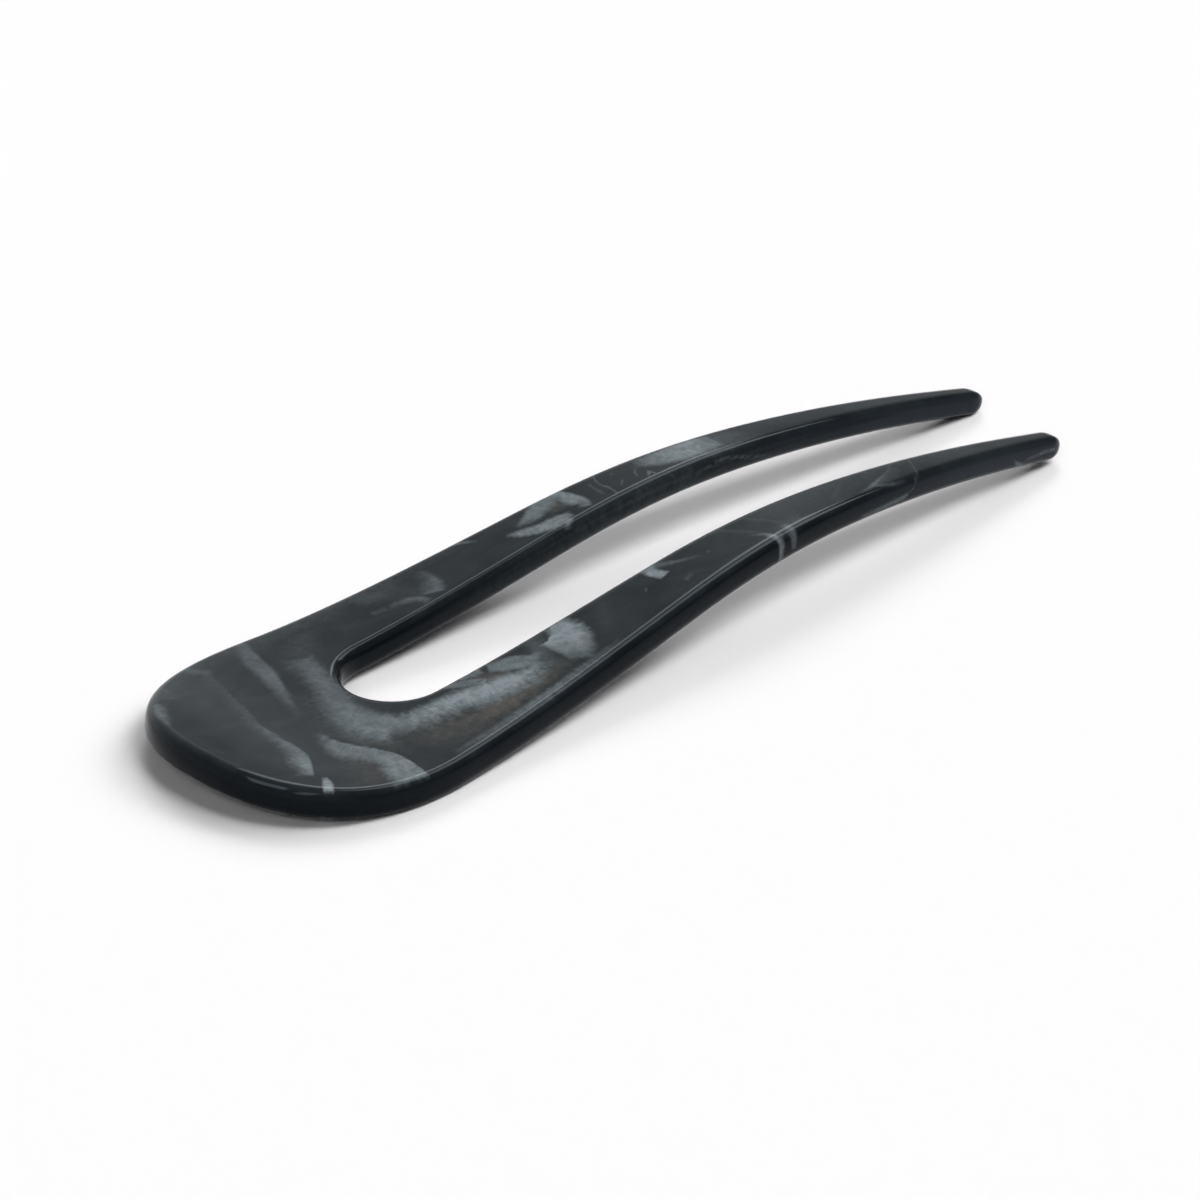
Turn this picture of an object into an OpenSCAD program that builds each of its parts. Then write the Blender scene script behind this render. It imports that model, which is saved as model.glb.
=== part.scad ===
// French hair pin: a broad round crown and two tapering prongs in one piece, cut from a sheet of
// acetate, bent in a gentle wave and polished until every edge is round.
//
// Frame: +Z is up, +X runs from the crown to the tips, +Y is to the left of someone who looks along +X.
// The origin is on the surface that the pin lies on, under the middle of its outline.
// Lengths are in millimetres and angles in degrees.

/* [Outline, measured on the flat sheet] */
// Length from the end of the crown to the tips, along the bend
pin_length = 120; // [100:1:150]
// Width where the round end of the crown meets the straight sides
crown_width = 34.2; // [30:0.5:44]
// Length of the round end of the crown
crown_length = 22.2; // [16:0.5:30]
// Fullness of the round end: 2 is half an ellipse and more is squarer
crown_fullness = 2.2; // [2:0.1:3]
// Width over both prongs at their tips
tips_width = 17.2; // [15:0.2:24]
// How far each side curves in between the crown and the tips
side_waist = 0.5; // [0:0.1:1.5]

/* [Slot and prongs] */
// Width of the slot between the prongs
slot_width = 11.4; // [8:0.1:12]
// Distance from the end of the crown to the closed end of the slot
slot_start = 22.5; // [15:0.2:35]
// How far the closed end of the slot lies off the middle, towards +Y
slot_offset = 1.2; // [-2:0.1:2]
// How much longer the prong on the +Y side is than the other
prong_stagger = 2.8; // [-4:0.2:4]
// Length over which each tip is rounded
tip_round = 2.4; // [1.5:0.1:4]

/* [Section] */
// Thickness of the polished sheet at the crown
sheet_t = 3.3; // [2.5:0.1:5]
// Thickness at the tips, before their rounding
tip_t = 2.8; // [1.5:0.1:5]
// Share of the length from which the prongs get thinner
thin_from = 0.35; // [0.2:0.05:0.7]
// How far the rounding of the edge reaches into the top and the underside
edge_round = 1.4; // [0.6:0.1:1.6]
// Fullness of the rounded edge: 2 is half an ellipse and more is squarer
edge_fullness = 2.6; // [2:0.1:4]
// How far the sheet is cupped: the middle of the crown stands this much higher than its sides
cupping = 0.15; // [0:0.05:0.6]

/* [Hidden] */

// Bend of the sheet seen from the side, a row for each station: share of the length from the end of the
// crown, and how fast the sheet turns up there, in degrees over a whole length of the pin.
bend_rate = [
    [0.00, 150],
    [0.15, 62],
    [0.30, 26],
    [0.44, -2],
    [0.52, -56],
    [0.60, -65],
    [0.75, -36],
    [1.00, -20],
];

// Numbers of ribs and points
crown_ribs = 13;
prong_ribs = 30;
tip_ribs = 6;
edge_points = 6;
face_points = 6;
path_steps = 160;
settle_rounds = 4;

// Last angle of the rounding of a tip, whose end point is at 90
tip_last_angle = 78;
// The path is worked out a little past the tips, for the longer prong
path_reach = 1.05;
// Most of the width of a section that the rounding of one edge may take
edge_share = 0.42;

acetate_colour = [0.13, 0.14, 0.16];

// Outline

// Half width over the straight sides, s along the sheet
function side_half(s) =
    let (u = (s - crown_length) / (pin_length - crown_length))
    (crown_width + (tips_width - crown_width) * u) / 2 - 4 * side_waist * u * (1 - u);

// A rib runs from the outer edge to the slot: [outer s, outer y, inner s, inner y, share of the section]
function crown_rib(angle) =
    let (s = crown_length * (1 - pow(cos(angle), 2 / crown_fullness)))
    [s, side_half(s) * pow(sin(angle), 2 / crown_fullness),
     slot_start + slot_width / 2 * (1 - cos(angle)), slot_width / 2 * sin(angle), 1];

function prong_rib(share) =
    let (outer_s = crown_length + (pin_length - tip_round - crown_length) * share,
         slot_s = slot_start + slot_width / 2,
         inner_s = slot_s + (pin_length - tip_round - slot_s) * share)
    [outer_s, side_half(outer_s), inner_s, slot_width / 2, 1];

function tip_rib(angle) =
    let (s = pin_length - tip_round + tip_round * sin(angle),
         middle = (side_half(s) + slot_width / 2) / 2,
         half = (side_half(s) - slot_width / 2) / 2 * cos(angle))
    [s, middle + half, s, middle - half, cos(angle)];

half_ribs = concat(
    [for (i = [0 : crown_ribs - 1]) crown_rib(90 * i / crown_ribs)],
    [for (i = [0 : prong_ribs - 1]) prong_rib(i / prong_ribs)],
    [for (i = [0 : tip_ribs]) tip_rib(tip_last_angle * i / tip_ribs)]
);

// One prong is longer than the other, and the slot drifts back to the middle towards the tips
function staggered(s, side) =
    s + side * prong_stagger / 2 * max(0, (s - slot_start) / (pin_length - slot_start));
function slot_drift(s) = slot_offset * max(0, 1 - s / pin_length);

function placed_rib(rib, side) =
    [staggered(rib[0], side), side * rib[1],
     staggered(rib[2], side), side * rib[3] + slot_drift(rib[2]), rib[4]];

last_rib = len(half_ribs) - 1;
ribs = concat(
    [for (i = [0 : last_rib]) placed_rib(half_ribs[last_rib - i], -1)],
    [for (i = [1 : last_rib]) placed_rib(half_ribs[i], 1)]
);

// The end points of the two tips on the flat sheet
tip_middle_y = (tips_width + slot_width) / 4;
tip_points = [for (side = [-1, 1]) [staggered(pin_length, side), side * tip_middle_y, 0]];

// Section

function thickness(s) =
    let (u = min(1, max(0, (s / pin_length - thin_from) / (1 - thin_from))))
    sheet_t + (tip_t - sheet_t) * pow(u, 1.5);

// Half of a rounded edge, from the underside up: [share of the inset, share of the half thickness]
function edge_point(i) =
    let (angle = -90 + 180 * i / edge_points)
    [1 - pow(cos(angle), 2 / edge_fullness),
     sign(angle) * pow(abs(sin(angle)), 2 / edge_fullness)];
edge = [for (i = [0 : edge_points]) edge_point(i)];

// The points of a rib's section on the flat sheet: [s, y, height over the middle of the sheet]
function section(rib) =
    let (outer = [rib[0], rib[1]],
         inner = [rib[2], rib[3]],
         width = norm(inner - outer),
         inward = (inner - outer) / width,
         inset = min(edge_round, width * edge_share))
    concat(
        [for (i = [0 : edge_points])
            let (p = outer + inward * inset * edge[i][0])
            [p[0], p[1], edge[i][1] * rib[4]]],
        [for (i = [1 : face_points - 1])
            let (p = outer + inward * (inset + (width - 2 * inset) * i / face_points))
            [p[0], p[1], rib[4]]],
        [for (i = [edge_points : -1 : 0])
            let (p = inner - inward * inset * edge[i][0])
            [p[0], p[1], edge[i][1] * rib[4]]],
        [for (i = [face_points - 1 : -1 : 1])
            let (p = outer + inward * (inset + (width - 2 * inset) * i / face_points))
            [p[0], p[1], -rib[4]]]
    );

// Bend

// The middle of the sheet from the side, one row for each step: [x, z, slope]
step_length = pin_length * path_reach / path_steps;
function turn_at(i) = lookup(i * path_reach / path_steps, bend_rate) * path_reach / path_steps;
path = [
    for (i = 0, x = 0, z = 0, slope = 0;
         i <= path_steps;
         x = x + step_length * cos(slope),
         z = z + step_length * sin(slope),
         slope = slope + turn_at(i + 0.5),
         i = i + 1)
    [x, z, slope]
];

function cupped(y) = cupping * (1 - pow(2 * y / crown_width, 2));

function bent(point) =
    let (place = min(path_steps - 0.001, max(0, point[0] / step_length)),
         i = floor(place),
         row = path[i] + (path[i + 1] - path[i]) * (place - i),
         lift = point[2] * thickness(point[0]) / 2 + cupped(point[1]))
    [row[0] - lift * sin(row[2]), point[1], row[1] + lift * cos(row[2])];

ring_points = 2 * (edge_points + 1) + 2 * (face_points - 1);
flat_points = concat([for (rib = ribs) each section(rib)], tip_points);
bent_points = [for (point = flat_points) bent(point)];

// The pin is turned until the crown and the tips touch the surface together

function lowest(points, far) =
    let (middle_x = pin_length / 2,
         part = [for (p = points) if ((p[0] > middle_x) == far) p],
         z = min([for (p = part) p[2]]))
    [for (p = part) if (p[2] == z) p][0];

function tipped(points, angle) =
    [for (p = points) [p[0] * cos(angle) - p[2] * sin(angle), p[1], p[0] * sin(angle) + p[2] * cos(angle)]];

function settled(points, rounds) =
    rounds <= 0 ? points :
    let (a = lowest(points, false), b = lowest(points, true))
    settled(tipped(points, -atan2(b[2] - a[2], b[0] - a[0])), rounds - 1);

function grounded(points) =
    let (x = [for (p = points) p[0]],
         y = [for (p = points) p[1]],
         z = [for (p = points) p[2]],
         move = [(min(x) + max(x)) / 2, (min(y) + max(y)) / 2, min(z)])
    [for (p = points) p - move];

pin_points = grounded(settled(bent_points, settle_rounds));

// Solid

// Faces: a fan from each tip's end point, and two triangles for each step round and along the pin
function next(i) = (i + 1) % ring_points;
first_tip = len(ribs) * ring_points;
last_tip = first_tip + 1;
last_ring = (len(ribs) - 1) * ring_points;
pin_faces = concat(
    [for (i = [0 : ring_points - 1]) [first_tip, i, next(i)]],
    [for (ring = [0 : len(ribs) - 2])
        for (i = [0 : ring_points - 1])
            let (a = ring * ring_points + i,
                 b = ring * ring_points + next(i),
                 c = a + ring_points,
                 d = b + ring_points)
            each [[a, c, b], [b, c, d]]],
    [for (i = [0 : ring_points - 1]) [last_tip, last_ring + next(i), last_ring + i]]
);

module hair_pin() {
    color(acetate_colour)
        polyhedron(points = pin_points, faces = pin_faces, convexity = 6);
}

hair_pin();
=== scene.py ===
"""The looks of the french hair pin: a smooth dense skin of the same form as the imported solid, marbled
acetate with streaks of pearl, a pale floor, soft light and the camera of the photograph.

Lengths on the pin are in millimetres until mm() turns them into metres. The floor, the lights and the
place of the camera are in metres. Angles are in degrees.
"""

import math

import bpy
import numpy as np
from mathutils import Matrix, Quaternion, Vector


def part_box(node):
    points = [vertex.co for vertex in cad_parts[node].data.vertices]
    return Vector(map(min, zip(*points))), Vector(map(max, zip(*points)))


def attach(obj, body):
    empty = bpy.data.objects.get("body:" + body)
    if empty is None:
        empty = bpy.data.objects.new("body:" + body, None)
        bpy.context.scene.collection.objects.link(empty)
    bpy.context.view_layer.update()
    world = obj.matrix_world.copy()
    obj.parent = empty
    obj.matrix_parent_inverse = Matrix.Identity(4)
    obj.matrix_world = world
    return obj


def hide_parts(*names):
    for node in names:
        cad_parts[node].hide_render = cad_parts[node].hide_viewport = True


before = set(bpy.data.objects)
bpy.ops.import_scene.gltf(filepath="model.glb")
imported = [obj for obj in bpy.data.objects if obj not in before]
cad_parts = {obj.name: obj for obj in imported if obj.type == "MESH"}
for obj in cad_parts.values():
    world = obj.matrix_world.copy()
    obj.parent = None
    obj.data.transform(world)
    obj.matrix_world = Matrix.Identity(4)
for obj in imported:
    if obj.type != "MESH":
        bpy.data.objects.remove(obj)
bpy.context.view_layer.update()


def mm(value):
    """Metres, from millimetres."""
    return value * 0.001


# Form of the pin, measured on the flat sheet: s runs along the pin from the end of the crown, and y across
# it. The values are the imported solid's own, so the skin has the same form.

# Length from the end of the crown to the tips, along the bend
PIN_LENGTH = 120
# Width where the round end of the crown meets the straight sides
CROWN_WIDTH = 34.2
# Length of the round end of the crown
CROWN_LENGTH = 22.2
# Fullness of the round end: 2 is half an ellipse and more is squarer
CROWN_FULLNESS = 2.2
# Width over both prongs at their tips
TIPS_WIDTH = 17.2
# How far each side curves in between the crown and the tips
SIDE_WAIST = 0.5

# Width of the slot between the prongs
SLOT_WIDTH = 11.4
# Distance from the end of the crown to the closed end of the slot
SLOT_START = 22.5
# How far the closed end of the slot lies off the middle, towards +Y
SLOT_OFFSET = 1.2
# How much longer the prong on the +Y side is than the other
PRONG_STAGGER = 2.8
# Length over which each tip is rounded
TIP_ROUND = 2.4

# Thickness of the polished sheet at the crown
SHEET_T = 3.3
# Thickness at the tips, before their rounding
TIP_T = 2.8
# Share of the length from which the prongs get thinner, and the power by which they do
THIN_FROM = 0.35
THIN_POWER = 1.5
# How far the rounding of the edge reaches into the top and the underside
EDGE_ROUND = 1.4
# Fullness of the rounded edge: 2 is half an ellipse and more is squarer
EDGE_FULLNESS = 2.6
# Most of the width of a section that the rounding of one edge may take
EDGE_SHARE = 0.42
# How far the sheet is cupped: the middle of the crown stands this much higher than its sides
CUPPING = 0.15

# Bend of the sheet seen from the side, a row for each station: share of the length from the end of the
# crown, and how fast the sheet turns up there, in degrees over a whole length of the pin
BEND_RATE = [
    (0.00, 150),
    (0.15, 62),
    (0.30, 26),
    (0.44, -2),
    (0.52, -56),
    (0.60, -65),
    (0.75, -36),
    (1.00, -20),
]
# The path of the bend is worked out a little past the tips, for the longer prong
PATH_REACH = 1.05
PATH_STEPS = 3200
# How many times the pin is turned before both ends touch the surface
SETTLE_ROUNDS = 4

# Numbers of ribs and points
CROWN_RIBS = 110
PRONG_RIBS = 400
TIP_RIBS = 16
EDGE_POINTS = 18
TOP_POINTS = 36
UNDER_POINTS = 12

# Last angle of the rounding of a tip, whose end point is at 90
TIP_LAST_ANGLE = 87

# A rounded edge is worked out at this many points before its even steps are taken
EDGE_SAMPLES = 2001


def side_half(s):
    """Half the width over the straight sides."""
    u = (s - CROWN_LENGTH) / (PIN_LENGTH - CROWN_LENGTH)
    return (CROWN_WIDTH + (TIPS_WIDTH - CROWN_WIDTH) * u) / 2 - 4 * SIDE_WAIST * u * (1 - u)


def thickness(s):
    """Thickness of the sheet, which gets less towards the tips."""
    u = np.clip((s / PIN_LENGTH - THIN_FROM) / (1 - THIN_FROM), 0, 1)
    return SHEET_T + (TIP_T - SHEET_T) * u ** THIN_POWER


def half_ribs():
    """Ribs of one half of the pin, from the outer edge to the slot: rows of outer s, outer y, inner s,
    inner y and share of the section."""
    turn = np.radians(90 * np.arange(CROWN_RIBS) / CROWN_RIBS)
    power = 2 / CROWN_FULLNESS
    outer_s = CROWN_LENGTH * (1 - np.cos(turn) ** power)
    crown = [
        outer_s,
        side_half(outer_s) * np.sin(turn) ** power,
        SLOT_START + SLOT_WIDTH / 2 * (1 - np.cos(turn)),
        SLOT_WIDTH / 2 * np.sin(turn),
        np.ones(CROWN_RIBS),
    ]
    share = np.arange(PRONG_RIBS) / PRONG_RIBS
    slot_s = SLOT_START + SLOT_WIDTH / 2
    outer_s = CROWN_LENGTH + (PIN_LENGTH - TIP_ROUND - CROWN_LENGTH) * share
    prong = [
        outer_s,
        side_half(outer_s),
        slot_s + (PIN_LENGTH - TIP_ROUND - slot_s) * share,
        np.full(PRONG_RIBS, SLOT_WIDTH / 2),
        np.ones(PRONG_RIBS),
    ]
    turn = np.radians(TIP_LAST_ANGLE * np.arange(TIP_RIBS + 1) / TIP_RIBS)
    s = PIN_LENGTH - TIP_ROUND + TIP_ROUND * np.sin(turn)
    middle = (side_half(s) + SLOT_WIDTH / 2) / 2
    half = (side_half(s) - SLOT_WIDTH / 2) / 2 * np.cos(turn)
    tip = [s, middle + half, s, middle - half, np.cos(turn)]
    return np.concatenate([np.array(crown), np.array(prong), np.array(tip)], axis=1).T


def staggered(s, side):
    """One prong is longer than the other."""
    return s + side * PRONG_STAGGER / 2 * np.maximum(0, (s - SLOT_START) / (PIN_LENGTH - SLOT_START))


def slot_drift(s):
    """How far the slot lies off the middle, which gets less towards the tips."""
    return SLOT_OFFSET * np.maximum(0, 1 - s / PIN_LENGTH)


def placed(ribs, side):
    """The ribs of one half, put on their own side of the pin: -1 or 1."""
    return np.stack([
        staggered(ribs[:, 0], side), side * ribs[:, 1],
        staggered(ribs[:, 2], side), side * ribs[:, 3] + slot_drift(ribs[:, 2]),
        ribs[:, 4],
    ], axis=1)


def even_edge():
    """A rounded edge from the underside up in even steps: shares of the inset and the half thickness."""
    turn = np.linspace(-math.pi / 2, math.pi / 2, EDGE_SAMPLES)
    power = 2 / EDGE_FULLNESS
    inset = 1 - np.abs(np.cos(turn)) ** power
    height = np.sign(turn) * np.abs(np.sin(turn)) ** power
    along = np.concatenate([[0], np.cumsum(np.hypot(
        np.diff(inset) * EDGE_ROUND, np.diff(height) * SHEET_T / 2))])
    even = np.linspace(0, along[-1], EDGE_POINTS + 1)
    return np.interp(even, along, inset), np.interp(even, along, height)


def flat_rings():
    """Points on the flat sheet, ring by ring: s, y, height over the middle as a share of half the
    thickness, for each ring and each point round it."""
    ribs = half_ribs()
    ribs = np.concatenate([placed(ribs[::-1], -1), placed(ribs[1:], 1)])
    outer, inner, share = ribs[:, 0:2], ribs[:, 2:4], ribs[:, 4]
    width = np.linalg.norm(inner - outer, axis=1)
    inward = (inner - outer) / width[:, None]
    inset = np.minimum(EDGE_ROUND, width * EDGE_SHARE)
    edge_inset, edge_height = even_edge()
    top = np.arange(1, TOP_POINTS) / TOP_POINTS
    under = np.arange(UNDER_POINTS - 1, 0, -1) / UNDER_POINTS
    by_inset = np.concatenate([edge_inset, 1 - 2 * top, -edge_inset[::-1], 1 - 2 * under])
    by_width = np.concatenate([edge_inset * 0, top, edge_inset * 0 + 1, under])
    height = np.concatenate([edge_height, top * 0 + 1, edge_height[::-1], under * 0 - 1])
    reach = by_inset[None, :] * inset[:, None] + by_width[None, :] * width[:, None]
    place = outer[:, None, :] + inward[:, None, :] * reach[:, :, None]
    return np.dstack([place, height[None, :] * share[:, None]])


def bent(points):
    """Points on the flat sheet, put where they come once the sheet is bent."""
    step = PIN_LENGTH * PATH_REACH / PATH_STEPS
    stations = np.arange(PATH_STEPS + 1) * step
    middles = (stations[:-1] + step / 2) / PIN_LENGTH
    turns = np.interp(middles, *np.transpose(BEND_RATE)) * step / PIN_LENGTH
    slope = np.radians(np.concatenate([[0], np.cumsum(turns)]))
    middle_slope = (slope[:-1] + slope[1:]) / 2
    path_x = np.concatenate([[0], np.cumsum(step * np.cos(middle_slope))])
    path_z = np.concatenate([[0], np.cumsum(step * np.sin(middle_slope))])
    s, y, height = points.T
    lift = height * thickness(s) / 2 + CUPPING * (1 - (2 * y / CROWN_WIDTH) ** 2)
    at = np.clip(s, 0, stations[-1])
    tilt = np.interp(at, stations, slope)
    return np.stack([
        np.interp(at, stations, path_x) - lift * np.sin(tilt),
        y,
        np.interp(at, stations, path_z) + lift * np.cos(tilt),
    ], axis=1)


def settled(points):
    """Turned until the crown and the tips touch the surface together."""
    for _ in range(SETTLE_ROUNDS):
        far = points[:, 0] > PIN_LENGTH / 2
        a = points[~far][points[~far][:, 2].argmin()]
        b = points[far][points[far][:, 2].argmin()]
        angle = -math.atan2(b[2] - a[2], b[0] - a[0])
        cos, sin = math.cos(angle), math.sin(angle)
        x, y, z = points.T
        points = np.stack([x * cos - z * sin, y, x * sin + z * cos], axis=1)
    return points


def grounded(points):
    """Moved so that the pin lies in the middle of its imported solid's box and on the surface."""
    low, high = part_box("hair_pin")
    low, high = np.array(low) / mm(1), np.array(high) / mm(1)
    target = np.array([(low[0] + high[0]) / 2, (low[1] + high[1]) / 2, low[2]])
    least, most = points.min(0), points.max(0)
    middle = np.array([(least[0] + most[0]) / 2, (least[1] + most[1]) / 2, least[2]])
    return points - middle + target


def skin():
    """The mesh of the whole pin and, for each of its points, the place on the flat sheet in mm."""
    rings = flat_rings()
    count, around = rings.shape[:2]
    ends = [[staggered(PIN_LENGTH, side), side * (TIPS_WIDTH + SLOT_WIDTH) / 4, 0] for side in (-1, 1)]
    flat = np.concatenate([rings.reshape(-1, 3), ends])
    points = grounded(settled(bent(flat)))
    ring, place = np.meshgrid(np.arange(count - 1), np.arange(around), indexing="ij")
    a = (ring * around + place).ravel()
    b = (ring * around + (place + 1) % around).ravel()
    quads = np.stack([a, b, b + around, a + around], axis=1)
    first, last = count * around, count * around + 1
    turn = np.arange(around)
    after = (turn + 1) % around
    last_ring = (count - 1) * around
    fan = np.concatenate([
        np.stack([np.full(around, first), after, turn], axis=1),
        np.stack([np.full(around, last), last_ring + turn, last_ring + after], axis=1),
    ])
    mesh = bpy.data.meshes.new("pin_skin")
    mesh.from_pydata((points * mm(1)).tolist(), [], quads.tolist() + fan.tolist())
    mesh.validate()
    mesh.polygons.foreach_set("use_smooth", [True] * len(mesh.polygons))
    flat[:, 2] *= thickness(flat[:, 0]) / 2
    return mesh, flat


def put_attribute(mesh, name, values):
    """A named row of three numbers for each point of the mesh, which the material reads."""
    layer = mesh.attributes.new(name, "FLOAT_VECTOR", "POINT")
    layer.data.foreach_set("vector", np.ascontiguousarray(values, np.float32).ravel())


# Pearl streaks

# A streak runs along a line on the flat sheet. Its rows are s, y, how far it reaches to the left and to
# the right of the line, and how bright it is there.

# Widths over which a streak fades
CRISP = 0.16
SOFT = 0.7
FEATHERED = 1.2
HAZY = 2.2

# The two layers of streaks: cool pearl and warm taupe
COOL = "cool"
WARM = "warm"


def streak(rows, fade=SOFT, left=None, right=None, ends=None, tone=COOL, on_walls=False):
    """A streak of one tone, which fades over the width fade. Its left side, its right side and its ends can
    have a width of their own. With on_walls it keeps its brightness where it runs down a wall."""
    softness = [fade if own is None else own for own in (left, right, ends)]
    return {"rows": np.array(rows, float), "softness": softness, "tone": tone, "on_walls": on_walls}


# Pearl on the crown
CROWN_STREAKS = [
    streak([
        (14.2, 16.5, 0.1, 0.8, 0.16), (12.7, 9.6, 0.1, 0.8, 0.14), (11.2, 4.4, 0.1, 0.8, 0.22),
        (10.3, 1.2, 0.1, 0.7, 0.34), (10.1, -2.0, 0.1, 0.8, 0.48), (9.9, -5.6, 0.1, 1.4, 0.64),
        (8.9, -7.8, 0.1, 1.6, 0.9), (7.3, -10.0, 0.1, 0.8, 0.7),
    ], left=CRISP, right=FEATHERED),
    streak([(7.9, -11.2, 0.2, 0.2, 0.9), (7.3, -12.2, 0.5, 0.5, 1.2), (6.4, -13.4, 0.5, 0.5, 1.2)],
           fade=0.2, ends=0.3, on_walls=True),
    streak([
        (21.0, 17.0, 0.1, 1.5, 0.40), (20.3, 14.5, 0.1, 1.5, 0.40), (19.6, 12.0, 0.1, 1.7, 0.44),
        (19.0, 9.5, 0.1, 1.8, 0.46), (17.9, 7.0, 0.1, 1.3, 0.50), (16.9, 4.8, 0.1, 1.0, 0.38),
        (15.9, 2.8, 0.1, 0.6, 0.24), (15.0, 0.8, 0.1, 0.3, 0.12),
    ], left=0.25, right=SOFT),
    streak([(26.0, 13.4, 0.9, 0.9, 0.12), (24.2, 11.2, 1.0, 1.0, 0.15), (22.6, 9.9, 0.6, 0.6, 0.12)],
           fade=HAZY),
    streak([
        (23.7, 9.1, 0.1, 2.2, 0.42), (23.1, 7.3, 0.1, 2.2, 0.48), (22.4, 5.0, 0.1, 2.1, 0.52),
        (21.8, 3.0, 0.1, 2.0, 0.52), (21.2, 1.0, 0.1, 2.7, 0.52), (20.6, -1.0, 0.1, 3.1, 0.58),
        (20.5, -3.0, 0.1, 4.1, 0.68), (20.9, -4.8, 0.1, 4.6, 0.78), (21.8, -6.0, 0.1, 4.6, 0.8),
    ], left=0.9, right=1.6, ends=FEATHERED),
    streak([
        (17.2, -6.2, 0.6, 1.0, 0.62), (19.3, -6.6, 1.2, 1.6, 0.80), (21.6, -6.3, 0.1, 3.0, 0.86),
        (24.0, -6.9, 0.1, 2.2, 1.2), (28.0, -7.2, 0.1, 2.4, 1.5), (31.0, -7.9, 0.1, 2.8, 1.6),
        (34.0, -8.7, 0.1, 2.6, 1.6), (36.4, -9.5, 0.1, 1.8, 1.4), (38.6, -9.4, 0.2, 0.6, 0.9),
    ], left=1.0, right=1.7, ends=0.8),
    streak([
        (13.9, -3.7, 0.1, 0.2, 0.45), (14.0, -5.6, 0.1, 1.5, 0.60), (14.6, -7.3, 0.1, 2.8, 0.64),
        (15.7, -9.2, 0.1, 2.3, 0.74), (16.8, -11.4, 0.1, 2.4, 0.90), (17.0, -13.4, 0.1, 3.0, 0.98),
        (16.7, -16.5, 0.1, 3.6, 0.9),
    ], left=CRISP, right=1.1),
    streak([(2.1, 6.3, 0.2, 0.2, 0.3), (3.2, 8.6, 0.7, 0.5, 0.5), (4.7, 10.8, 0.6, 0.5, 0.32)],
           left=0.3, right=SOFT, ends=0.6),
    streak([(6.4, 11.2, 0.6, 0.6, 0.14), (7.6, 13.6, 0.6, 0.6, 0.22)], fade=FEATHERED, ends=SOFT),
    streak([(12.2, 16.6, 0.9, 0.9, 0.3), (13.8, 13.5, 0.5, 0.5, 0.24)]),
]

# Taupe round the pearl of the crown
CROWN_TAUPES = [
    streak([(12.8, -8.6, 0.8, 0.8, 0.4), (12.6, -11.6, 1.4, 1.0, 0.5), (11.8, -15.0, 1.4, 1.4, 0.35)],
           fade=HAZY, tone=WARM),
    streak([(5.6, -3.6, 0.8, 0.8, 0.1), (5.6, -7.6, 1.0, 1.0, 0.16), (5.4, -11.0, 1.0, 1.0, 0.1)],
           fade=HAZY, tone=WARM),
    streak([(15.1, -4.8, 0.3, 0.2, 0.3), (16.4, -8.2, 0.5, 0.4, 0.6), (18.6, -10.8, 0.8, 0.8, 0.5)],
           fade=FEATHERED, ends=HAZY, tone=WARM),
    streak([(20.4, -10.6, 0.6, 0.8, 0.6), (23.4, -12.0, 1.5, 1.5, 0.8), (28.2, -13.4, 1.2, 1.2, 0.7)],
           fade=HAZY, tone=WARM),
    streak([(22.8, -9.0, 0.3, 0.3, 0.8), (23.6, -11.6, 0.5, 0.5, 0.9)], ends=HAZY, tone=WARM),
    streak([(26.4, -9.4, 0.3, 0.3, 0.9), (27.2, -12.2, 0.6, 0.6, 1.0)], ends=HAZY, tone=WARM),
    streak([(29.4, -10.2, 0.3, 0.3, 0.9), (30.6, -13.2, 0.6, 0.6, 1.0)], ends=HAZY, tone=WARM),
    streak([(33.0, -11.0, 0.3, 0.3, 0.7), (34.2, -13.6, 0.5, 0.5, 0.8)], ends=HAZY, tone=WARM),
]

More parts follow.
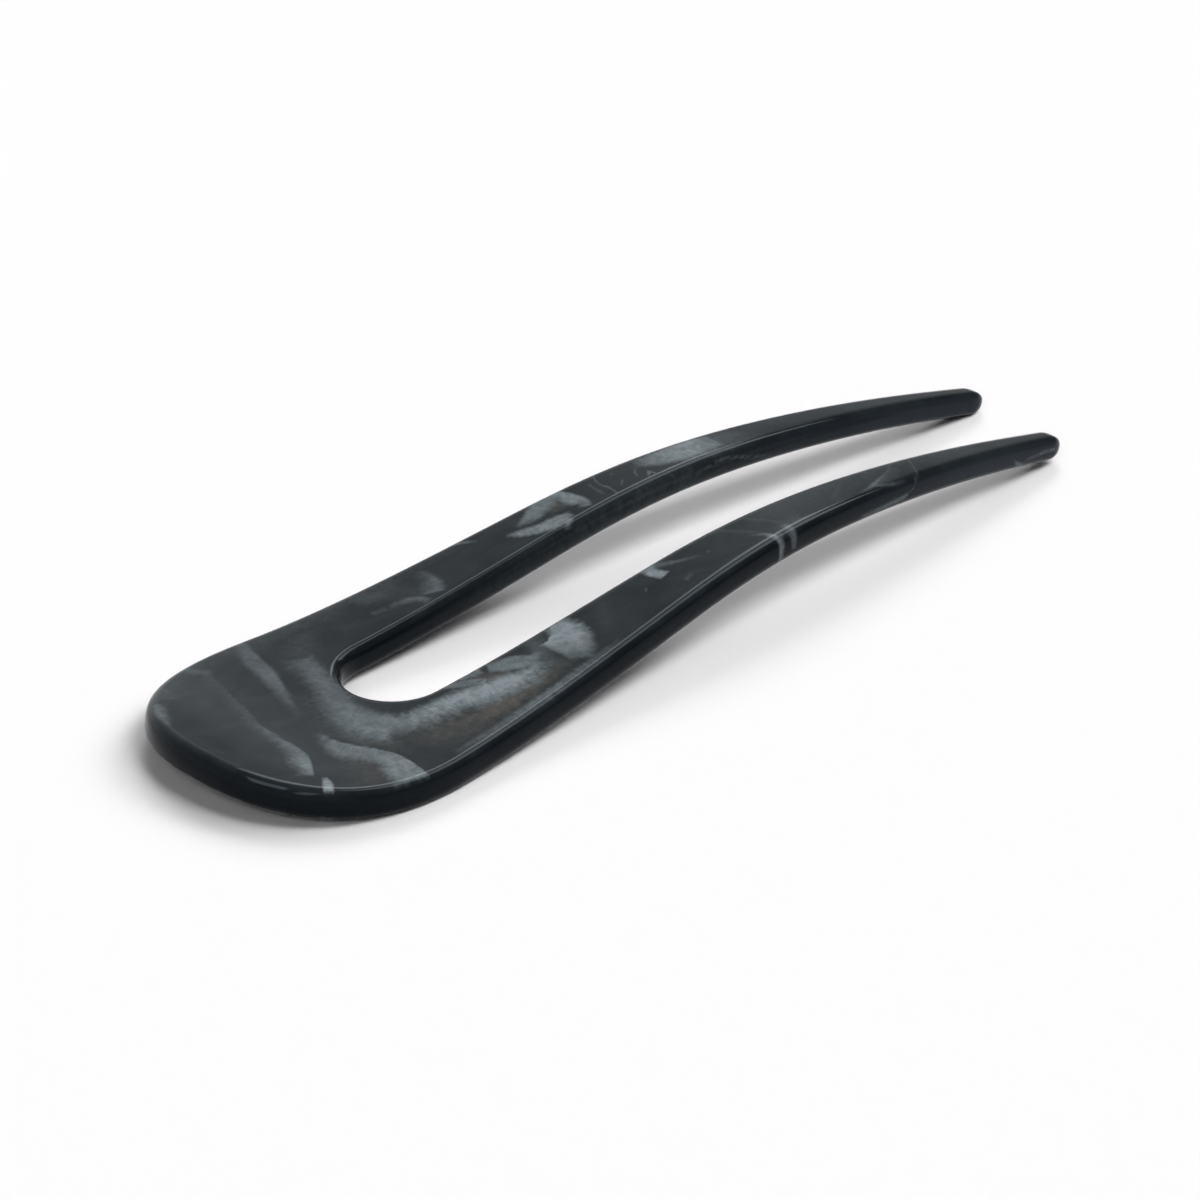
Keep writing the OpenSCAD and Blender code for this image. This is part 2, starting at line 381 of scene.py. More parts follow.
# Pearl and taupe on the front prong, which is the one on the -Y side, and a painted highlight along its rim
FRONT_STREAKS = [
    streak([
        (23.8, -10.0, 0.6, 0.6, 0.8), (26.0, -11.8, 0.8, 0.9, 1.1), (30.0, -12.4, 1.2, 1.2, 1.3),
        (35.0, -12.2, 1.0, 1.0, 1.1), (40.4, -11.6, 0.8, 0.8, 0.5),
    ], fade=FEATHERED, tone=WARM),
    # Painted highlight: pearl that lies under the front rim, made bright enough to stand in for the rim's
    # highlight line
    streak([
        (22.0, -15.4, 0.1, 0.2, 0.3), (28.0, -14.9, 0.2, 0.4, 0.6), (34.0, -14.3, 0.2, 0.5, 0.75),
        (40.0, -13.7, 0.2, 0.4, 0.6), (46.0, -13.1, 0.1, 0.2, 0.2),
    ], left=0.5, right=SOFT, ends=FEATHERED),
    streak([(28.9, -5.6, 0.4, 0.2, 0.6), (30.8, -6.7, 0.7, 0.5, 0.62), (32.6, -7.9, 0.5, 0.6, 0.5)],
           left=CRISP, right=0.3, ends=0.3),
    streak([(31.0, -5.8, 0.3, 0.3, 0.66), (33.4, -6.2, 0.6, 0.4, 0.62)], left=0.3, right=0.4, ends=0.4),
    streak([(32.2, -6.6, 0.6, 0.6, 0.7), (33.8, -8.2, 1.2, 0.9, 0.9), (35.6, -9.4, 0.4, 0.4, 0.6)],
           tone=WARM),
    streak([
        (34.4, -6.3, 0.6, 0.8, 0.70), (36.4, -7.5, 1.2, 1.2, 0.74), (38.2, -8.6, 1.0, 0.9, 0.82),
        (39.7, -8.2, 0.3, 0.4, 0.6),
    ], left=0.35, right=0.4, ends=0.3),
    streak([
        (45.2, -5.6, 0.1, 2.3, 1.1), (45.5, -7.4, 0.2, 4.2, 1.5), (45.0, -9.6, 0.2, 4.7, 1.4),
        (43.8, -11.4, 0.2, 3.8, 0.9), (42.6, -12.8, 0.2, 2.2, 0.5),
    ], left=0.9, right=0.6, ends=0.9),
    streak([(41.0, -5.8, 0.6, 0.8, 0.24), (39.8, -8.4, 0.8, 0.8, 0.4), (38.8, -11.0, 0.6, 0.6, 0.3)],
           fade=FEATHERED),
    streak([(50.0, -6.2, 0.3, 0.3, 0.3), (48.2, -9.0, 0.6, 0.6, 0.35), (46.6, -11.5, 0.4, 0.4, 0.15)],
           fade=FEATHERED, ends=HAZY, tone=WARM),
    streak([(57.0, -5.5, 1.0, 0.9, 0.8), (56.9, -7.0, 0.8, 0.6, 1.45), (57.3, -8.3, 0.8, 0.5, 1.3)],
           fade=0.3),
    streak([(58.0, -6.1, 0.4, 0.6, 0.42), (60.0, -7.4, 0.25, 0.25, 0.34), (62.4, -8.5, 0.1, 0.1, 0.16)],
           left=0.25, right=0.3, ends=0.5),
    streak([(54.2, -8.9, 0.05, 0.05, 0.6), (54.6, -8.5, 0.05, 0.05, 0.6)], fade=CRISP),
    streak([(58.3, -10.6, 0.3, 0.3, 0.22), (59.4, -10.3, 0.1, 0.1, 0.15)], fade=0.3, ends=0.4),
    streak([(63.3, -8.7, 0.1, 0.1, 0.35), (63.6, -8.4, 0.1, 0.1, 0.35)], fade=0.15),
    streak([(66.0, -6.2, 0.1, 0.1, 0.35), (66.6, -6.4, 0.1, 0.1, 0.2)], fade=0.2),
    streak([(66.8, -6.0, 0.2, 0.2, 0.14), (69.4, -9.4, 0.2, 0.2, 0.12)], left=0.3, right=0.5, ends=HAZY),
    streak([(70.3, -6.0, 0.2, 0.2, 0.16), (72.7, -9.6, 0.2, 0.2, 0.12)], left=0.3, right=0.5, ends=HAZY),
    streak([(68.8, -9.6, 0.1, 0.2, 0.2), (69.8, -10.4, 0.2, 0.3, 0.6), (70.3, -11.6, 0.3, 0.4, 0.8)],
           left=0.2, right=0.3, ends=0.6),
    streak([(72.5, -10.4, 0.4, 0.4, 0.3), (72.5, -11.8, 0.4, 0.4, 0.45)], fade=0.3, ends=0.6),
    streak([(81.0, -9.3, 0.3, 0.3, 0.10), (84.8, -6.6, 0.3, 0.3, 0.16)], left=0.4, right=0.6, ends=HAZY),
    streak([
        (84.2, -10.1, 0.05, 0.05, 0.3), (85.6, -9.8, 0.1, 0.15, 0.55), (86.8, -9.4, 0.2, 0.25, 0.8),
        (88.2, -8.8, 0.15, 0.15, 0.55), (90.2, -7.9, 0.1, 0.1, 0.45), (92.6, -6.2, 0.1, 0.1, 0.35),
    ], fade=0.3, ends=0.5),
    streak([(86.4, -9.7, 0.1, 0.1, 0.6), (88.4, -10.2, 0.1, 0.1, 0.45), (90.6, -10.3, 0.05, 0.05, 0.3)],
           fade=0.3, ends=0.6),
    streak([(87.4, -9.0, 0.1, 0.9, 0.22), (91.6, -7.2, 0.1, 0.9, 0.16)], left=0.3, right=1.0, ends=1.0),
    streak([
        (95.2, -5.8, 0.05, 0.05, 0.45), (94.4, -7.6, 0.05, 0.05, 0.45), (93.4, -9.2, 0.05, 0.05, 0.4),
        (92.4, -10.9, 0.05, 0.05, 0.3),
    ], fade=CRISP, ends=0.4),
]

# Faint hazes over long stretches
HAZES = [
    streak([
        (3.0, 9.0, 1.0, 1.0, 0.08), (8.0, 14.5, 1.0, 1.0, 0.14), (16.0, 16.6, 1.0, 1.0, 0.22),
        (27.0, 15.8, 1.0, 1.0, 0.24), (38.0, 14.8, 0.8, 0.8, 0.18), (47.0, 13.8, 0.6, 0.6, 0.08),
    ], fade=HAZY),
    streak([(19.0, 3.0, 1.5, 1.5, 0.07), (17.0, -4.0, 2.0, 2.0, 0.10)], fade=HAZY),
    streak([(72.0, -6.4, 0.8, 0.8, 0.06), (86.0, -6.6, 0.8, 0.8, 0.16), (104.0, -7.0, 0.8, 0.8, 0.14)],
           fade=HAZY),
    streak([(80.0, 9.6, 0.8, 0.8, 0.10), (92.0, 9.4, 0.8, 0.8, 0.12), (106.0, 9.0, 0.8, 0.8, 0.04)],
           fade=HAZY),
]

# Pearl and taupe on the back prong
BACK_STREAKS = [
    streak([(33.4, 15.6, 0.8, 0.8, 0.2), (35.4, 13.6, 1.0, 1.2, 0.26), (36.8, 12.8, 0.5, 0.5, 0.16)],
           fade=FEATHERED),
    streak([(33.6, 10.7, 0.1, 0.2, 0.34), (35.0, 10.5, 0.1, 0.3, 0.26)], left=0.3, right=SOFT, ends=0.4),
    streak([
        (35.6, 10.2, 0.2, 0.3, 0.20), (37.4, 9.9, 0.3, 0.5, 0.36), (38.7, 8.9, 0.3, 0.4, 0.5),
        (39.0, 8.0, 0.3, 0.5, 0.56),
    ], left=0.4, right=0.6, ends=0.4),
    streak([
        (42.3, 13.0, 0.1, 0.6, 0.20), (42.4, 11.0, 0.1, 1.0, 0.36), (42.1, 9.6, 0.1, 1.6, 0.50),
        (41.3, 8.2, 0.1, 1.6, 0.60),
    ], left=0.5, right=1.4, ends=0.4),
    streak([(37.6, 13.4, 0.8, 0.8, 0.3), (38.6, 11.0, 0.8, 0.8, 0.4), (39.0, 9.4, 0.4, 0.4, 0.3)],
           fade=HAZY, tone=WARM),
    streak([(46.6, 14.4, 0.3, 0.2, 0.4), (48.3, 13.4, 0.3, 0.15, 0.66), (49.7, 12.4, 0.1, 0.1, 0.3)],
           left=0.15, right=0.3, ends=0.3),
    streak([
        (52.4, 10.3, 0.2, 0.1, 0.5), (53.8, 9.5, 0.55, 0.7, 1.0), (55.8, 8.6, 0.7, 0.9, 1.1),
        (57.6, 8.2, 0.9, 0.9, 1.15), (59.3, 8.0, 0.5, 0.4, 0.9),
    ], fade=0.4),
    streak([(58.6, 7.6, 0.5, 0.5, 0.85), (57.9, 6.9, 0.2, 0.2, 0.8), (57.3, 6.6, 0.1, 0.1, 0.5)],
           fade=0.2, ends=0.3),
    streak([
        (54.4, 10.8, 0.15, 0.1, 0.5), (56.2, 11.1, 0.7, 0.8, 0.82), (58.0, 11.6, 1.1, 1.0, 0.86),
        (59.6, 12.2, 0.9, 1.1, 0.62), (60.8, 12.6, 0.7, 1.2, 0.66),
    ], left=0.4, right=0.6, ends=0.5),
    streak([
        (60.9, 13.6, 0.3, 0.9, 0.62), (61.7, 12.0, 0.2, 1.3, 1.0), (62.2, 10.2, 0.2, 1.6, 1.1),
        (62.4, 8.8, 0.1, 1.4, 0.80), (61.9, 7.8, 0.1, 0.9, 0.6),
    ], left=0.25, right=SOFT, ends=0.4),
    streak([(58.2, 10.4, 0.6, 0.6, 0.7), (60.0, 10.4, 0.8, 0.8, 0.8)], fade=0.6, tone=WARM),
    streak([
        (66.3, 12.1, 0.06, 0.06, 0.5), (65.7, 11.2, 0.1, 0.1, 0.55), (65.4, 9.9, 0.12, 0.12, 0.4),
        (65.6, 8.9, 0.12, 0.12, 0.55), (65.4, 7.4, 0.1, 0.1, 0.5),
    ], fade=0.14, ends=0.3),
    streak([(64.7, 11.0, 0.06, 0.06, 0.4), (64.5, 10.0, 0.1, 0.1, 0.3), (64.4, 8.4, 0.2, 0.2, 0.2)],
           left=0.14, right=0.3, ends=0.4),
    streak([(66.8, 8.2, 0.04, 0.04, 0.6), (67.6, 9.0, 0.04, 0.04, 0.5)], fade=CRISP),
    streak([(69.3, 8.5, 0.12, 0.12, 0.36), (69.7, 9.3, 0.1, 0.1, 0.4), (70.5, 10.0, 0.05, 0.05, 0.3)],
           fade=0.15, ends=0.3),
    streak([(70.1, 7.5, 0.05, 0.05, 0.6), (70.6, 8.1, 0.14, 0.14, 0.7), (70.9, 8.5, 0.05, 0.05, 0.5)],
           fade=CRISP),
    streak([(70.9, 8.4, 0.05, 0.05, 0.5), (71.0, 7.6, 0.12, 0.12, 0.7)], fade=CRISP),
    streak([(67.6, 10.7, 0.12, 0.12, 0.4), (67.9, 10.9, 0.1, 0.1, 0.4)], fade=0.15),
    streak([
        (71.0, 10.6, 0.7, 0.7, 0.30), (73.2, 9.8, 1.4, 1.3, 0.80), (76.2, 9.4, 1.8, 1.8, 1.05),
        (79.0, 9.2, 1.8, 1.7, 1.00), (81.0, 9.1, 1.4, 1.4, 0.6),
    ], fade=0.6, ends=0.9),
    streak([(79.0, 9.0, 1.4, 1.4, 0.42), (85.5, 8.8, 1.0, 1.0, 0.12)], fade=HAZY),
    streak([(73.6, 8.7, 0.3, 0.3, 0.8), (74.2, 8.3, 0.4, 0.4, 0.8)], fade=0.6, tone=WARM),
]

# All the streaks of the faces
STREAKS = HAZES + CROWN_TAUPES + CROWN_STREAKS + FRONT_STREAKS + BACK_STREAKS

# Streaks on a wall have the depth below the top in place of y

# On the outer wall of the front prong
FRONT_WALL_STREAKS = [
    streak([(70.4, 0.2, 0.3, 0.4, 0.8), (70.2, 1.6, 0.3, 0.35, 0.75), (70.1, 3.2, 0.3, 0.3, 0.7)],
           left=0.2, right=0.35, ends=0.5),
    streak([(72.3, 0.2, 0.5, 0.5, 0.5), (72.3, 1.0, 0.4, 0.4, 0.42), (72.2, 1.9, 0.25, 0.3, 0.34)],
           fade=0.25, ends=0.5),
    streak([
        (92.4, 0.3, 0.05, 0.05, 0.35), (92.0, 1.1, 0.06, 0.06, 0.4), (91.2, 1.6, 0.08, 0.08, 0.5),
        (90.6, 1.9, 0.1, 0.1, 0.6),
    ], fade=0.15, ends=0.3),
    streak([(83.6, 2.3, 0.2, 0.2, 0.35), (87.2, 2.2, 0.2, 0.25, 0.6), (90.6, 1.9, 0.15, 0.2, 0.66)],
           fade=0.35, ends=0.6),
    streak([(109.4, 1.6, 0.05, 0.05, 0.4), (110.4, 2.2, 0.25, 0.25, 0.6), (111.2, 2.5, 0.3, 0.3, 0.5)],
           fade=0.25, ends=0.4),
    streak([(111.6, 1.8, 0.1, 0.1, 0.3), (114.4, 1.4, 0.1, 0.15, 0.5), (116.6, 1.2, 0.15, 0.15, 0.6)],
           fade=0.25, ends=0.4),
]

# On the wall of the back prong that faces the slot
BACK_WALL_STREAKS = [
    streak([
        (38.0, 1.9, 1.3, 1.3, 0.02), (50.0, 1.9, 1.3, 1.3, 0.08), (62.0, 1.8, 1.4, 1.4, 0.13),
        (73.0, 1.7, 1.4, 1.4, 0.16), (81.0, 1.8, 1.2, 1.2, 0.09), (96.0, 1.7, 1.2, 1.2, 0.01),
    ], ends=HAZY),
    streak([
        (74.0, 1.5, 0.05, 0.05, 0.2), (76.4, 1.25, 0.06, 0.06, 0.3), (79.1, 0.8, 0.06, 0.06, 0.45),
        (81.1, 0.9, 0.06, 0.06, 0.45), (83.2, 1.5, 0.06, 0.06, 0.4), (86.9, 2.3, 0.05, 0.05, 0.25),
    ], fade=0.18, ends=0.5),
]

# How far in from the edge the streaks of a wall reach
WALL_INSET = 1.2

# From this height over the middle of the sheet all is face, at the thin tips too
FACE_HEIGHT = TIP_T / 2

# The streaks of the faces hardly show on the walls. Up to this height they keep this share of their
# brightness, and on the faces all of it.
WALL_HEIGHT = 1.0
WALL_PEARL = 0.12

# How far outside its sides a streak is worked out
STREAK_REACH = 6

# Steps between two rows of a streak
STREAK_STEPS = 5

# Most that a place may lie inside or outside a streak, in steps of its softness
FIELD_LIMIT = 4.0

# From one streak to the next, the noise of its hairs is read this much further on
SEED_STEP = 3.7


def smooth_rows(rows):
    """The rows of a streak on a smooth curve through them."""
    padded = np.concatenate([2 * rows[:1] - rows[1:2], rows, 2 * rows[-1:] - rows[-2:-1]])
    a, b, c, d = padded[:-3], padded[1:-2], padded[2:-1], padded[3:]
    pieces = []
    for step in range(STREAK_STEPS):
        t = step / STREAK_STEPS
        pieces.append(0.5 * (2 * b + (c - a) * t + (2 * a - 5 * b + 4 * c - d) * t ** 2
                             + (3 * b - a - 3 * c + d) * t ** 3))
    curve = np.stack(pieces, axis=1).reshape(-1, rows.shape[1])
    return np.concatenate([curve, rows[-1:]])


def streak_field(one, places):
    """For each place: how far inside the streak it is, in steps of its softness, how bright the streak is
    there, and its place along and across the streak in mm."""
    rows = smooth_rows(one["rows"])
    left_soft, right_soft, end_soft = one["softness"]
    start, step = rows[:-1], np.diff(rows, axis=0)
    last = len(start) - 1
    lengths = np.linalg.norm(step[:, :2], axis=1)
    before = np.concatenate([[0], np.cumsum(lengths)[:-1]])
    best = np.full(len(places), np.inf)
    field = np.full(len(places), -FIELD_LIMIT)
    bright, along, across = np.zeros((3, len(places)))
    for i in range(len(start)):
        away = places - start[i, :2]
        forward = away @ step[i, :2] / lengths[i]
        sideways = away[:, 1] * step[i, 0] / lengths[i] - away[:, 0] * step[i, 1] / lengths[i]
        share = np.clip(forward / lengths[i], 0, 1)
        past = forward - share * lengths[i]
        distance = np.hypot(past, sideways)
        nearer = distance < best
        left = start[i, 2] + share * step[i, 2]
        right = start[i, 3] + share * step[i, 3]
        inside = np.minimum((left - sideways) / left_soft, (right + sideways) / right_soft)
        if i in (0, last):
            at_end = past < 0 if i == 0 else past > 0
            inside = np.where(at_end, np.minimum(inside, -np.abs(past) / end_soft), inside)
        best[nearer] = distance[nearer]
        field[nearer] = inside[nearer]
        bright[nearer] = (start[i, 4] + share * step[i, 4])[nearer]
        along[nearer] = (before[i] + share * lengths[i])[nearer]
        across[nearer] = sideways[nearer]
    return np.clip(field, -FIELD_LIMIT, FIELD_LIMIT), bright, along, across


def pearl_fields(flat):
    """The cool and the warm layer at each place on the sheet, each as rows of: how far inside a streak,
    how bright it is, the place along and across it, and where its noise starts."""
    s, y, height = flat.T
    on_face = np.interp(np.abs(height), (WALL_HEIGHT, FACE_HEIGHT), (WALL_PEARL, 1))
    on_wall = np.stack([s, thickness(s) / 2 - height], axis=1)
    everywhere = np.full(len(flat), True)
    front_wall = -y > side_half(s) - WALL_INSET
    slot_side = SLOT_WIDTH / 2 + slot_drift(s)
    back_wall = (s > SLOT_START + SLOT_WIDTH) & (y > 0) & (y < slot_side + WALL_INSET)
    plain = np.tile([-FIELD_LIMIT, 0, 0, 0, 0], (len(flat), 1))
    layers = {COOL: plain.copy(), WARM: plain.copy()}
    tasks = [(flat[:, :2], everywhere, one) for one in STREAKS]
    tasks += [(on_wall, front_wall, one) for one in FRONT_WALL_STREAKS]
    tasks += [(on_wall, back_wall, one) for one in BACK_WALL_STREAKS]
    for number, (places, allowed, one) in enumerate(tasks):
        line = one["rows"][:, :2]
        reach = STREAK_REACH + one["rows"][:, 2:4].max()
        near = ((places > line.min(0) - reach) & (places < line.max(0) + reach)).all(1) & allowed
        field, bright, along, across = streak_field(one, places[near])
        if places is not on_wall and not one["on_walls"]:
            bright = bright * on_face[near]
        layer = layers[one["tone"]]
        old = layer[near]
        weight = (np.clip(field, -1, 1) + 1) * bright
        old_weight = (np.clip(old[:, 0], -1, 1) + 1) * old[:, 1]
        wins = (weight > old_weight) | ((weight == old_weight) & (field > old[:, 0]))
        seed = np.full(len(field), number * SEED_STEP)
        new = np.stack([field, bright, along, across, seed], axis=1)
        layer[near] = np.where(wins[:, None], new, old)
    return layers


# Material

# The faces drift between two blacks
DEEP = (0.0060, 0.0078, 0.0092, 1)
SMOKE = (0.015, 0.019, 0.022, 1)

# The cut walls take a darker colour of their own, which is painted shade, and a lighter, bluer one at the
# tips, where the painted shade eases
WALL_PAINTED_SHADE = (0.0030, 0.0045, 0.0068, 1)
TIP_WALL_PAINTED_SHADE = (0.017, 0.0215, 0.028, 1)

# Places along the pin between which the painted shade of the walls turns to its lighter tone at the tips
TIP_WALL_FROM = 78
TIP_WALL_TO = 104

# Height from which the painted shade of a wall turns to the tone of a face, and the share of the face's
# tone that is left under the painted shade of the walls
WALL_PAINTED_SHADE_TOP = 0.9
FACE_SHARE_ON_WALLS = 0.2

# The two tones of the streaks, and how much the brightest of them cover
PEARL = (0.215, 0.250, 0.268, 1)
TAUPE = (0.074, 0.069, 0.061, 1)
PEARL_SHARE = 0.72

# The polish, with a weak and slightly blue gloss
ROUGHNESS = 0.07
IOR = 1.16
GLOSS_TINT = (0.82, 0.93, 1, 1)

# Noises: scale, detail, roughness and distortion
SMOKE_NOISE = (0.16, 4, 0.55, 0.8)
CLOUD_NOISE = (0.7, 6, 0.66, 0.8)
HAIR_NOISE = (1, 5, 0.7, 0.5)
GRAIN_NOISE = (1.3, 6, 0.66, 0)

# Scale of the smoke along and across the pin, and of the hairs along and across a streak
SMOKE_STRETCH = (1, 1.6, 1)
HAIR_STRETCH = (2.4, 0.7, 1)

# A noise between the first two numbers is turned into a value between the last two
SMOKE_RANGE = (0.35, 0.7, 0, 1)
CLOUD_RANGE = (0.36, 0.64, 0.62, 1.14)
HAIR_RANGE = (0.3, 0.7, 0.86, 1.1)

# How far hairs and grains move the edge of a streak, in steps of its softness
FRINGE = 0.5
COOL_GRAIN = 0.55
WARM_GRAIN = 0.8

# Sockets for colours on a node that mixes
MIX_FROM = 6
MIX_TO = 7
MIX_RESULT = 2


def node(tree, kind, **values):
    """A new node, with its properties and, by name with spaces as underscores, its inputs."""
    made = tree.nodes.new(kind)
    for name, value in values.items():
        if hasattr(made, name):
            setattr(made, name, value)
        else:
            made.inputs[name.replace("_", " ")].default_value = value
    return made


def math_node(tree, operation, a, b=0):
    """The outcome of a sum on two numbers or sockets."""
    made = tree.nodes.new("ShaderNodeMath")
    made.operation = operation
    for socket, value in zip(made.inputs, (a, b)):
        if isinstance(value, (int, float)):
            socket.default_value = value
        else:
            tree.links.new(value, socket)
    return made.outputs[0]


def attribute(tree, name):
    """The three numbers that the mesh holds under this name."""
    return node(tree, "ShaderNodeAttribute", attribute_name=name).outputs["Vector"]


def split(tree, vector):
    """The three numbers of a vector, one by one."""
    made = tree.nodes.new("ShaderNodeSeparateXYZ")
    tree.links.new(vector, made.inputs[0])
    return made.outputs


def stretched(tree, vector, scale):
    """The vector with each of its numbers scaled by its own share."""
    made = node(tree, "ShaderNodeVectorMath", operation="MULTIPLY")
    tree.links.new(vector, made.inputs[0])
    made.inputs[1].default_value = scale
    return made.outputs[0]


def noise(tree, vector, scale, detail, roughness, distortion):
    """Noise from 0 to 1, read at the vector."""
    made = node(tree, "ShaderNodeTexNoise", Scale=scale, Detail=detail, Roughness=roughness,
                Distortion=distortion)
    tree.links.new(vector, made.inputs["Vector"])
    return made.outputs["Fac"]


def remapped(tree, value, low, high, to_low=0.0, to_high=1.0, smooth=False):
    """A value between low and high, moved to between to_low and to_high and kept there."""
    made = node(tree, "ShaderNodeMapRange", From_Min=low, From_Max=high, To_Min=to_low, To_Max=to_high)
    made.interpolation_type = "SMOOTHSTEP" if smooth else "LINEAR"
    tree.links.new(value, made.inputs["Value"])
    return made.outputs["Result"]


def mixed(tree, factor, a, b):
    """The colour that goes from a to b as the factor goes from 0 to 1."""
    made = node(tree, "ShaderNodeMix", data_type="RGBA")
    tree.links.new(factor, made.inputs["Factor"])
    for socket, value in ((made.inputs[MIX_FROM], a), (made.inputs[MIX_TO], b)):
        if isinstance(value, tuple):
            socket.default_value = value
        else:
            tree.links.new(value, socket)
    return made.outputs[MIX_RESULT]


def streak_cover(tree, name, grain):
    """How much a layer of streaks covers, with hair-like fringes across the streaks and a grainy edge."""
    field, bright, _ = split(tree, attribute(tree, name))
    hairs = noise(tree, stretched(tree, attribute(tree, name + "_way"), HAIR_STRETCH), *HAIR_NOISE)
    grains = noise(tree, attribute(tree, "sheet"), *GRAIN_NOISE)
    field = math_node(tree, "ADD", field, remapped(tree, hairs, 0, 1, -FRINGE, FRINGE))
    field = math_node(tree, "ADD", field, remapped(tree, grains, 0, 1, -grain, grain))
    cover = remapped(tree, field, -1, 1, smooth=True)
    clouds = noise(tree, attribute(tree, "sheet"), *CLOUD_NOISE)
    cover = math_node(tree, "MULTIPLY", cover, remapped(tree, clouds, *CLOUD_RANGE))
    cover = math_node(tree, "MULTIPLY", cover, remapped(tree, hairs, *HAIR_RANGE))
    return math_node(tree, "MULTIPLY", cover, math_node(tree, "MULTIPLY", bright, PEARL_SHARE))


def acetate():
    """Smoky black acetate with painted shade on its cut walls, under a layer of taupe and a layer of pearl.
    """
    material = bpy.data.materials.new("marbled_acetate")
    material.use_nodes = True
    tree = material.node_tree
    shader = tree.nodes["Principled BSDF"]
    sheet = attribute(tree, "sheet")
    smoke = noise(tree, stretched(tree, sheet, SMOKE_STRETCH), *SMOKE_NOISE)
    body = mixed(tree, remapped(tree, smoke, *SMOKE_RANGE), DEEP, SMOKE)
    along, _, height = split(tree, sheet)
    # Painted shade: the cut walls are darkened, less so towards the tips
    wall_shade = mixed(tree, remapped(tree, along, TIP_WALL_FROM, TIP_WALL_TO), WALL_PAINTED_SHADE, TIP_WALL_PAINTED_SHADE)
    face = remapped(tree, math_node(tree, "ABSOLUTE", height), WALL_PAINTED_SHADE_TOP, FACE_HEIGHT,
                    FACE_SHARE_ON_WALLS, smooth=True)
    body = mixed(tree, face, wall_shade, body)
    body = mixed(tree, streak_cover(tree, WARM, WARM_GRAIN), body, TAUPE)
    body = mixed(tree, streak_cover(tree, COOL, COOL_GRAIN), body, PEARL)
    tree.links.new(body, shader.inputs["Base Color"])
    shader.inputs["Roughness"].default_value = ROUGHNESS
    shader.inputs["IOR"].default_value = IOR
    shader.inputs["Specular Tint"].default_value = GLOSS_TINT
    return material


# Floor

# Width of the floor in metres
FLOOR_SIZE = 4
FLOOR_TONE = (0.93, 0.917, 0.924, 1)
FLOOR_ROUGHNESS = 0.9
FLOOR_GLOSS = 0.1


def floor():
    """The pale matt surface that the pin lies on."""
    bpy.ops.mesh.primitive_plane_add(size=FLOOR_SIZE)
    plane = bpy.context.object
    plane.name = "floor"
    material = bpy.data.materials.new("pale_floor")
    material.use_nodes = True
    shader = material.node_tree.nodes["Principled BSDF"]
    shader.inputs["Base Color"].default_value = FLOOR_TONE
    shader.inputs["Roughness"].default_value = FLOOR_ROUGHNESS
    shader.inputs["Specular IOR Level"].default_value = FLOOR_GLOSS
    plane.data.materials.append(material)


# Light

def direction(azimuth, elevation):
    """The way to a place seen from the pin: azimuth 0 is towards -Y, and 90 towards +X."""
    a, e = math.radians(azimuth), math.radians(elevation)
    return Vector((math.sin(a) * math.cos(e), -math.cos(a) * math.cos(e), math.sin(e)))


# Each soft light comes from a round patch this wide in degrees
SOFT_LIGHT_WIDTH = 28

# All the light that falls on the floor, and the soft lights: name, azimuth, elevation and share of it
FLOOR_LIGHT = 1.06
SOFT_LIGHTS = [
    ("key", 34, 62, 0.33),
    ("right", 60, 40, 0.20),
    ("far_right", 90, 40, 0.11),
    ("back", 135, 40, 0.23),
    ("left", 300, 40, 0.13),
]


def soft_light(name, azimuth, elevation, share):
    """A broad light that shows only on matt surfaces."""
    light = bpy.data.lights.new(name, "SUN")
    light.angle = math.radians(SOFT_LIGHT_WIDTH)
    light.energy = share * FLOOR_LIGHT * math.pi / math.sin(math.radians(elevation))
    lamp = bpy.data.objects.new(name, light)
    bpy.context.scene.collection.objects.link(lamp)
    lamp.rotation_euler = direction(azimuth, elevation).to_track_quat("Z", "Y").to_euler()
    lamp.visible_glossy = False


# What the gloss mirrors besides the strip lights
ROOM_TONE = (0.92, 0.97, 1, 1)
ROOM_BRIGHTNESS = 1.45

# Darker parts of the room, seen in the rim and near the tips: azimuth, elevation, how far from there the
# room stays darkest and where the darkness ends, in degrees, and the share of brightness left where darkest
DARK_PARTS = [
    (50, 20, 50, 68, 0.36),
    (90, -20, 54, 63, 0.42),
]

# Strip lights show only in the gloss, and stand this far away in metres
STRIP_DISTANCE = 2

# Name, azimuth, elevation, lean to the side, width, length and brightness, with angles in degrees. The
# first draws the line where the top starts to round over, and the second the line further out. The other
# two do the same for who looks from the far side.
STRIP_LIGHTS = [
    ("inner_line", 135, 43, -25, 10, 28, 6.0),
    ("outer_line", 95, 54, 19, 24, 28, 7.8),
    ("far_inner_line", 315, 43, -25, 10, 28, 6.0),
    ("far_outer_line", 275, 54, 19, 24, 28, 7.8),
]


def strip_light(name, azimuth, elevation, lean, width, length, brightness):
    """A narrow light that shows only in the gloss."""
    light = bpy.data.lights.new(name, "AREA")
    light.shape = "RECTANGLE"
    light.size = 2 * STRIP_DISTANCE * math.tan(math.radians(width / 2))
    light.size_y = 2 * STRIP_DISTANCE * math.tan(math.radians(length / 2))
    light.energy = brightness * math.pi * light.size * light.size_y
    light.color = ROOM_TONE[:3]
    lamp = bpy.data.objects.new(name, light)
    bpy.context.scene.collection.objects.link(lamp)
    away = direction(azimuth, elevation)
    lamp.location = away * STRIP_DISTANCE
    facing = away.to_track_quat("Z", "Y") @ Quaternion((0, 0, 1), math.radians(lean))
    lamp.rotation_euler = facing.to_euler()
    lamp.visible_diffuse = False


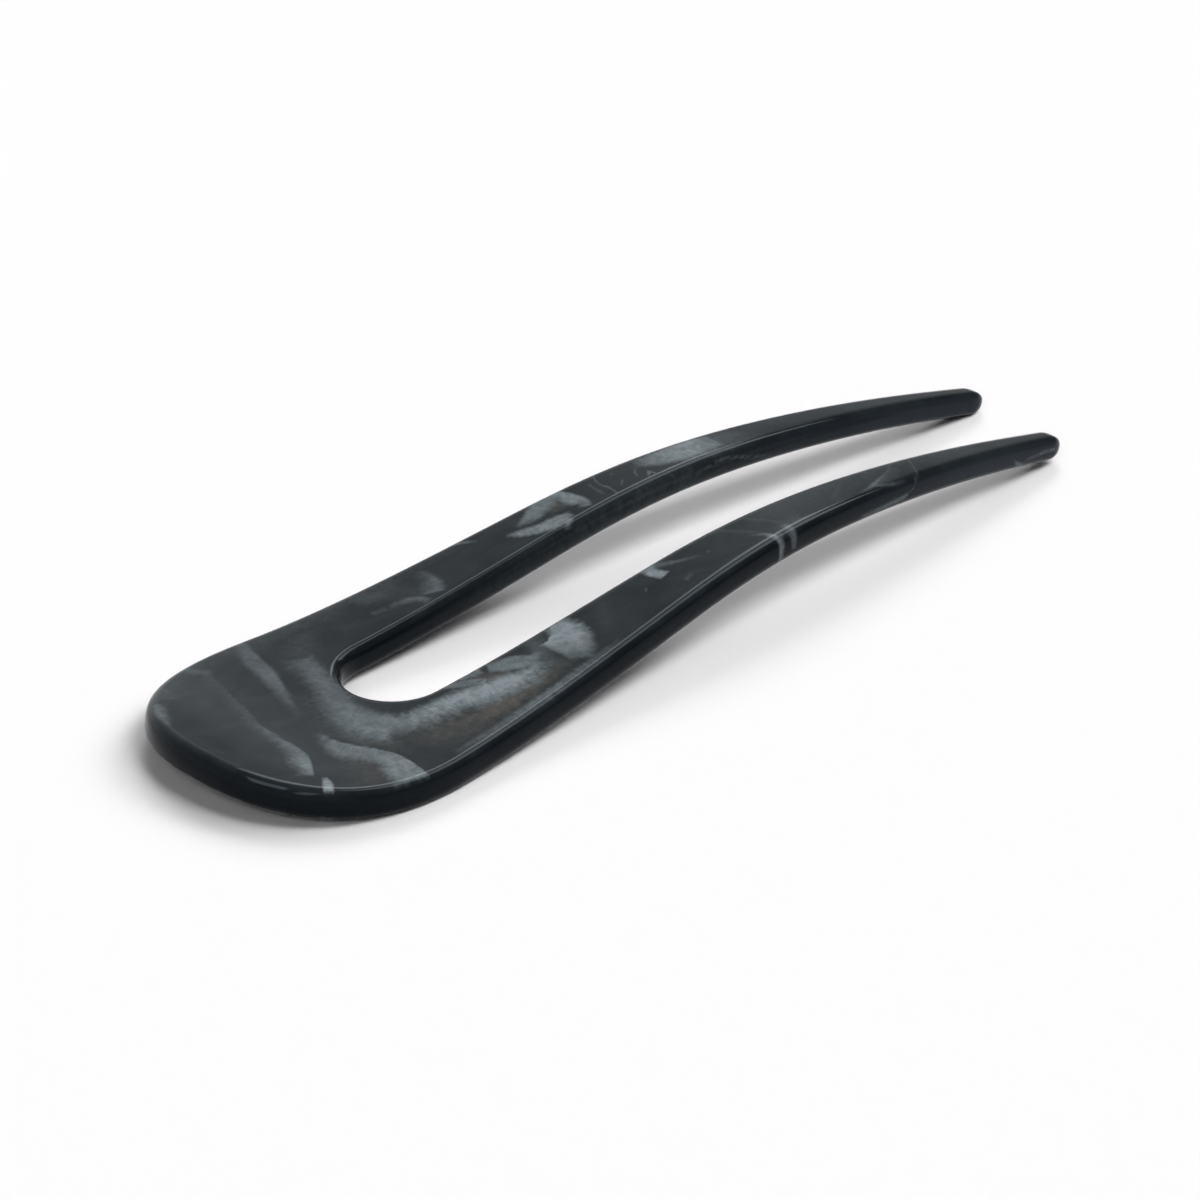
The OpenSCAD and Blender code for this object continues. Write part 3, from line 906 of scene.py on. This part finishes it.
def studio():
    """The room, which shows only in the gloss, and all the lights."""
    world = bpy.data.worlds.new("studio")
    world.use_nodes = True
    tree = world.node_tree
    background = tree.nodes["Background"]
    background.inputs["Color"].default_value = ROOM_TONE
    way = node(tree, "ShaderNodeTexCoord").outputs["Generated"]
    brightness = ROOM_BRIGHTNESS
    for azimuth, elevation, inner, outer, least in DARK_PARTS:
        facing = node(tree, "ShaderNodeVectorMath", operation="DOT_PRODUCT")
        tree.links.new(way, facing.inputs[0])
        facing.inputs[1].default_value = direction(azimuth, elevation)
        dark = remapped(tree, facing.outputs["Value"], math.cos(math.radians(outer)),
                        math.cos(math.radians(inner)), 1, least, smooth=True)
        brightness = math_node(tree, "MULTIPLY", dark, brightness)
    tree.links.new(brightness, background.inputs["Strength"])
    world.cycles_visibility.diffuse = False
    bpy.context.scene.world = world
    for light in SOFT_LIGHTS:
        soft_light(*light)
    for light in STRIP_LIGHTS:
        strip_light(*light)


# Camera

# Where the camera stands seen from its aim, in degrees and metres, and its aim in metres
CAMERA_AZIMUTH = -43.06
CAMERA_ELEVATION = 28.18
CAMERA_DISTANCE = 0.5964
CAMERA_AIM = Vector((-0.00464, 0.00017, 0.00187))

# Lens and width of the sensor in millimetres, and the nearest distance that shows, in metres
CAMERA_LENS = 170.9
SENSOR = 36
CLIP_START = 0.01


def camera():
    """The camera at the photograph's angle."""
    data = bpy.data.cameras.new("camera")
    data.lens = CAMERA_LENS
    data.sensor_width = SENSOR
    data.clip_start = CLIP_START
    eye = bpy.data.objects.new("camera", data)
    bpy.context.scene.collection.objects.link(eye)
    away = direction(CAMERA_AZIMUTH, CAMERA_ELEVATION)
    eye.location = CAMERA_AIM + away * CAMERA_DISTANCE
    eye.rotation_euler = away.to_track_quat("Z", "Y").to_euler()
    bpy.context.scene.camera = eye


# The scene

# Each layer of streaks gives the mesh two rows of three numbers, so the brightness is in the first twice
mesh, flat = skin()
put_attribute(mesh, "sheet", flat)
for name, layer in pearl_fields(flat).items():
    put_attribute(mesh, name, layer[:, [0, 1, 1]])
    put_attribute(mesh, name + "_way", layer[:, 2:5])
pin = bpy.data.objects.new("pin", mesh)
bpy.context.scene.collection.objects.link(pin)
pin.data.materials.append(acetate())
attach(pin, "root")
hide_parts("hair_pin")

floor()
studio()
camera()
bpy.context.scene.view_settings.view_transform = "Standard"
